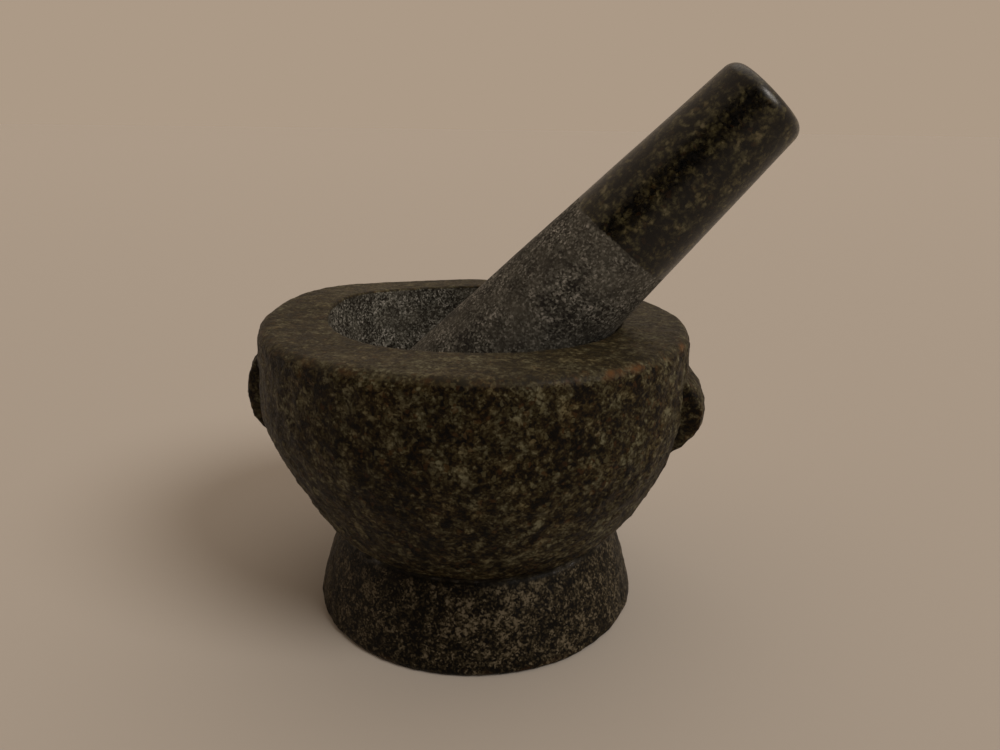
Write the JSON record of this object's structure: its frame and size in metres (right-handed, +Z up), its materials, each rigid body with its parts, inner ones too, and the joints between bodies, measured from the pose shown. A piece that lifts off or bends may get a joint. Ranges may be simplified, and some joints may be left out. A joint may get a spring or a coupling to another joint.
{
  "type": "mortar and pestle",
  "caption": "Footed granite mortar with carved side lugs and a hemispherical hollow, with a loose tapered granite pestle leaning in it.",
  "frame": {"origin": "centre of the foot's flat resting face, on the mortar's turning axis", "axes": "+Z up along the mortar's turning axis, +X out through the lug that the pestle leans towards, +Y to the back"},
  "size_m": [0.1705, 0.1414, 0.1786],
  "materials": {
    "mortar_granite": "satin",
    "pestle_granite": "satin"
  },
  "bodies": {
    "mortar": {"mortar": "mortar_granite"},
    "pestle": {"pestle": "pestle_granite"}
  },
  "joints": [
    {"name": "pestle_draw", "type": "slide", "parent": "mortar", "child": "pestle", "axis": [0.6188, -0.0804, 0.7815], "range_m": [0, 0.09]}
  ]
}
